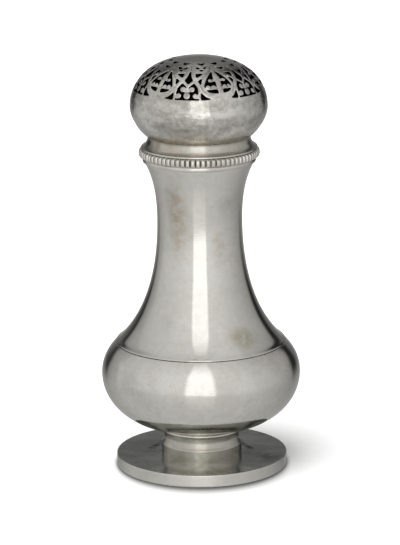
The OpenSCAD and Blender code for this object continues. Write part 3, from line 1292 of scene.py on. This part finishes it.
nflat = len(v2)
sunk, in_line = relief(*polar(v2))
pos, nrm = mapped(v2, sunk)
tiny = 2e-4
for way in ((tiny, 0.0), (0.0, tiny)):
    slope = (relief(*polar(v2 + way))[0] - sunk) / tiny
    along = (mapped(v2 + way, sunk)[0] - pos) / tiny
    nrm = nrm + (slope / (along * along).sum(-1))[:, None] * along
outer0 = put(pos, nrm / np.linalg.norm(nrm, axis=1)[:, None])
pin, nin = mapped(v2, np.full(nflat, SHEET))
inner0 = put(pin, -nin)
FACES += (outer0 + tris).tolist()
INDEX += np.where(in_line[tris].mean(1) > 0.42, 2, 0).tolist()
FACES += (inner0 + tris[:, ::-1]).tolist()
INDEX += [1] * len(tris)

# rounded edge and wall of each opening: share of the way from the surface ring
# to the opening's outline, depth, and how far the normal has turned
LAYERS = [(0.45, 0.015, 0.30), (0.8, 0.056, 0.59), (0.96, 0.1, 0.82), (1.0, 0.15, 1.0), (1.0, 0.6, 1.0), (1.0, 1.08, 1.0)]
for (p, q), (at0, n) in zip(holes, spans):
    ids = np.array([new[at0 + i] for i in range(n)])
    rows = [outer0 + ids]
    d = p - q
    d /= np.linalg.norm(d, axis=1)[:, None]
    soft0, soft1 = relief(*polar(q))[0], relief(*polar(p))[0]
    for share, depth, turned in LAYERS:
        w = q + share * (p - q)
        below = depth + soft0 + share * (soft1 - soft0)
        pos, nrm = mapped(w, below)
        ahead, _ = mapped(w + 1e-4 * d, below)
        flatward = ahead - pos
        flatward /= np.linalg.norm(flatward, axis=1)[:, None]
        a = turned * math.pi / 2
        rows.append(put(pos, math.cos(a) * nrm + math.sin(a) * flatward) + np.arange(n))
    rows.append(inner0 + ids)
    for level, (a, b) in enumerate(zip(rows, rows[1:])):
        FACES += np.stack([a, b, np.roll(b, -1), np.roll(a, -1)], 1).tolist()
        INDEX += [0 if level < 5 else 1] * n

# plain lower half, joined to the pattern's rim row
cut_z = float(on_dome(np.array([rim_rho]))[1][0])
rise = cubic([(29.4, 158.5), (29.4, 170), (20, 179.8), (0, 179.8)], 900)
rise = rise[rise[:, 1] < cut_z - 0.15][::14]
plain = np.concatenate([dome_low, rise[1:]])
pn = side(np.concatenate([plain, [[on_dome(np.array([rim_rho]))[0][0], cut_z]]]))[:-1]
rim_ids = np.array([new[j] for j in range(SEG)])
rows_out, rows_in = [], []
for (r, z), (a, b) in zip(plain, pn):
    one = np.ones(SEG)
    fade = min(1.0, (z - 145.6) / 3)
    pos, nrm = shell(r * one, z * one, a * one, b * one, ring_phi, 0 * one)
    base = around(r * one, z * one, ring_phi)
    pos = base + fade * (pos - base)
    rows_out.append(put(pos, nrm) + np.arange(SEG))
    low_r, low_z = (r - WALL * a, z - WALL * b)
    if z < 145.7:
        low_r, low_z = r - WALL, z
    pos = around(low_r * one, low_z * one, ring_phi)
    rows_in.append(put(pos, -around(a * one, b * one, ring_phi)) + np.arange(SEG))
rows_out.append(outer0 + rim_ids)
rows_in.append(inner0 + rim_ids)
for rows, mark, sign in ((rows_out, 0, 1), (rows_in, 1, -1)):
    for a, b in zip(rows, rows[1:]):
        quad = np.stack([a, np.roll(a, -1), np.roll(b, -1), b], 1)
        FACES += quad[:, ::sign].tolist()
        INDEX += [mark] * SEG
a, b = rows_in[0], rows_out[0]
FACES += np.stack([a, np.roll(a, -1), np.roll(b, -1), b], 1).tolist()
INDEX += [1] * SEG
dome = make("dome_pierced", np.concatenate(V), FACES, INDEX, np.concatenate(NRM))
place(dome, "cover_dome", "cover", "silver_dome", silver_dome, dome_inside_shade, engraving)

# ---------------------------------------------------------------- stage

floor_mesh = bpy.data.meshes.new("floor")
floor_mesh.from_pydata(
    [(-6, -6, 0), (6, -6, 0), (6, 6, 0), (-6, 6, 0)], [], [(0, 1, 2, 3)]
)
floor = bpy.data.objects.new("floor", floor_mesh)
bpy.context.scene.collection.objects.link(floor)
paper = bpy.data.materials.new("paper")
paper.use_nodes = True
g = Graph(paper.node_tree)
# painted contact shadow: the sheet's colour is darker close round the foot, where hardly any light reaches it
spot = g.add(
    "ShaderNodeVectorMath",
    {0: g.add("ShaderNodeTexCoord").outputs["Object"], 1: (1000.0, 1000.0, 0.0)},
    operation="MULTIPLY",
).outputs[0]
out = g.add("ShaderNodeVectorMath", {0: spot}, operation="LENGTH").outputs[1]
front = g.math(
    "DIVIDE", g.math("MULTIPLY", g.add("ShaderNodeSeparateXYZ", {0: spot}).outputs[1], -1.0), out, clamp=True
)
width = g.math("MULTIPLY_ADD", g.math("MULTIPLY", front, front), 8.5, 1.6)
off = g.math("DIVIDE", g.math("SUBTRACT", out, 36.5), width)
tone = g.add("ShaderNodeValToRGB", {0: g.math("MULTIPLY", off, 0.5, clamp=True)})
stops = tone.color_ramp.elements
for i, (r, v) in enumerate(((0.0, 0.08), (0.1, 0.13), (0.2, 0.28), (0.32, 0.50), (0.5, 0.72), (0.75, 0.88), (1.0, 0.92))):
    if i < 2:
        stop = stops[i]
        stop.position = r
    else:
        stop = stops.new(r)
    stop.color = (v, v, v * 0.995, 1)
sheet = g.add(
    "ShaderNodeBsdfPrincipled", {"Base Color": tone.outputs[0], "Roughness": 0.9}
)
sheet.inputs["Specular IOR Level"].default_value = 0.1
g.add("ShaderNodeOutputMaterial", {"Surface": sheet.outputs[0]})
floor_mesh.materials.append(paper)
floor.visible_glossy = False

# Studio: a pale tent round the object, which the silver mirrors. A tall bright
# panel stands in front, the sides fall off to grey, and the far side is dim.
world = bpy.data.worlds.new("studio")
bpy.context.scene.world = world
world.use_nodes = True
g = Graph(world.node_tree)
way = g.add("ShaderNodeTexCoord").outputs["Generated"]
part = g.add("ShaderNodeSeparateXYZ", {0: way})
az = g.math(
    "MULTIPLY",
    g.math("ARCTAN2", part.outputs[0], g.math("MULTIPLY", part.outputs[1], -1.0)),
    180 / math.pi,
)
el = g.math("MULTIPLY", g.math("ARCSINE", part.outputs[2]), 180 / math.pi)


def ramp(value, stops):
    node = g.add("ShaderNodeValToRGB", {0: g.span(value, -180, 180, 0, 1, smooth=False)})
    node.color_ramp.interpolation = "LINEAR"
    e = node.color_ramp.elements
    while len(e) > 1:
        e.remove(e[0])
    for i, (at, level) in enumerate(stops):
        s = e[0] if i == 0 else e.new((at + 180) / 360)
        s.position = (at + 180) / 360
        s.color = (level, level, level, 1)
    return g.add("ShaderNodeSeparateColor", {0: node.outputs[0]}).outputs[0]


walls = ramp(
    g.math("MULTIPLY", az, g.span(el, 3, 20, 1.0, 0.945)),
    [
        (-180, 0.45), (-171, 0.35), (-160, 0.15), (-152, 0.08), (-146, 0.045), (-140.5, 0.045), (-136.5, 0.21), (-132, 0.32), (-122, 0.41),
        (-116, 0.45), (-110, 0.55), (-96, 0.61), (-70, 0.67), (-45, 0.76), (-24, 0.82), (0, 0.83), (22, 0.81), (40, 0.75), (62, 0.65),
        (85, 0.53), (116, 0.38), (122, 0.345), (128, 0.27), (131, 0.17), (134.5, 0.03), (143, 0.02), (147, 0.045), (151, 0.12), (160, 0.17), (171, 0.35), (180, 0.45),
    ],
)
table = ramp(
    az,
    [
        (-180, 0.42), (-150, 0.36), (-130, 0.42), (-110, 0.50), (-80, 0.52), (-50, 0.62), (-25, 0.68), (0, 0.70),
        (25, 0.66), (50, 0.60), (80, 0.49), (105, 0.40), (130, 0.31), (150, 0.32), (180, 0.42),
    ],
)
level = g.add(
    "ShaderNodeMix", {0: g.span(el, 34, 86, 0, 1), 2: walls, 3: 0.68}
).outputs[0]
behind = g.math(
    "MULTIPLY",
    g.span(g.math("ABSOLUTE", az), 148, 162, 0, 0.9),
    g.math("MULTIPLY", g.span(el, 1, 8, 0, 1), g.span(el, 24, 40, 1, 0)),
)
level = g.add("ShaderNodeMix", {0: behind, 2: level, 3: 0.16}).outputs[0]
deep = g.add(
    "ShaderNodeMix", {0: g.span(el, -25, -80, 0, 1, smooth=False), 2: table, 3: 0.57}
).outputs[0]
level = g.add(
    "ShaderNodeMix", {0: g.span(el, -22, -2, 1, 0), 2: level, 3: deep}
).outputs[0]
panel = g.math(
    "MULTIPLY", g.span(az, -19.0, -16.0, 0, 1), g.span(az, 14.3, 17.3, 1, 0)
)
tall = g.math("MULTIPLY", g.span(el, -13.5, -10.0, 0, 1), g.span(el, 40, 84, 1, 0))
glow = g.math("MULTIPLY", g.span(el, -50, -13, 0, 1, smooth=False), 0.26)
shine = g.math("MULTIPLY", panel, g.math("MAXIMUM", tall, g.math("MULTIPLY", glow, g.span(el, -13.5, -10.0, 1, 0))))
level = g.add("ShaderNodeMix", {0: shine, 2: level, 3: 1.36}).outputs[0]
mirror = g.add("ShaderNodeBackground", {"Color": (1, 0.995, 0.975, 1), "Strength": level})
plain_sky = g.add(
    "ShaderNodeBackground", {"Color": (1, 1, 1, 1), "Strength": 0.55}
)
ray = g.add("ShaderNodeLightPath").outputs["Is Glossy Ray"]
both = g.add(
    "ShaderNodeMixShader", {0: ray, 1: plain_sky.outputs[0], 2: mirror.outputs[0]}
)
g.add("ShaderNodeOutputWorld", {0: both.outputs[0]})
world.cycles.sampling_method = "NONE"

lamp = bpy.data.lights.new("key", "SUN")
lamp.energy = 3.5
lamp.angle = math.radians(58)
key = bpy.data.objects.new("key", lamp)
bpy.context.scene.collection.objects.link(key)
key.rotation_euler = Vector((0.30, 0.36, -1.0)).to_track_quat("-Z", "Y").to_euler()
key.visible_glossy = False

cam = bpy.data.cameras.new("camera")
cam.sensor_fit = "AUTO"
cam.sensor_width = 36.0
cam.lens = 3141.73 / 545 * 36.0
cam.shift_x, cam.shift_y = -0.0005, -0.00055
cam.clip_start, cam.clip_end = 0.05, 30
camera = bpy.data.objects.new("camera", cam)
bpy.context.scene.collection.objects.link(camera)
camera.matrix_world = (
    Matrix.Translation((0, -1.3125, 0.41825))
    @ Matrix.Rotation(math.radians(90 - 14.234), 4, "X")
    @ Matrix.Rotation(math.radians(-0.5), 4, "Z")
)
bpy.context.scene.camera = camera
bpy.context.scene.view_settings.view_transform = "Standard"
bpy.context.scene.view_settings.look = "None"
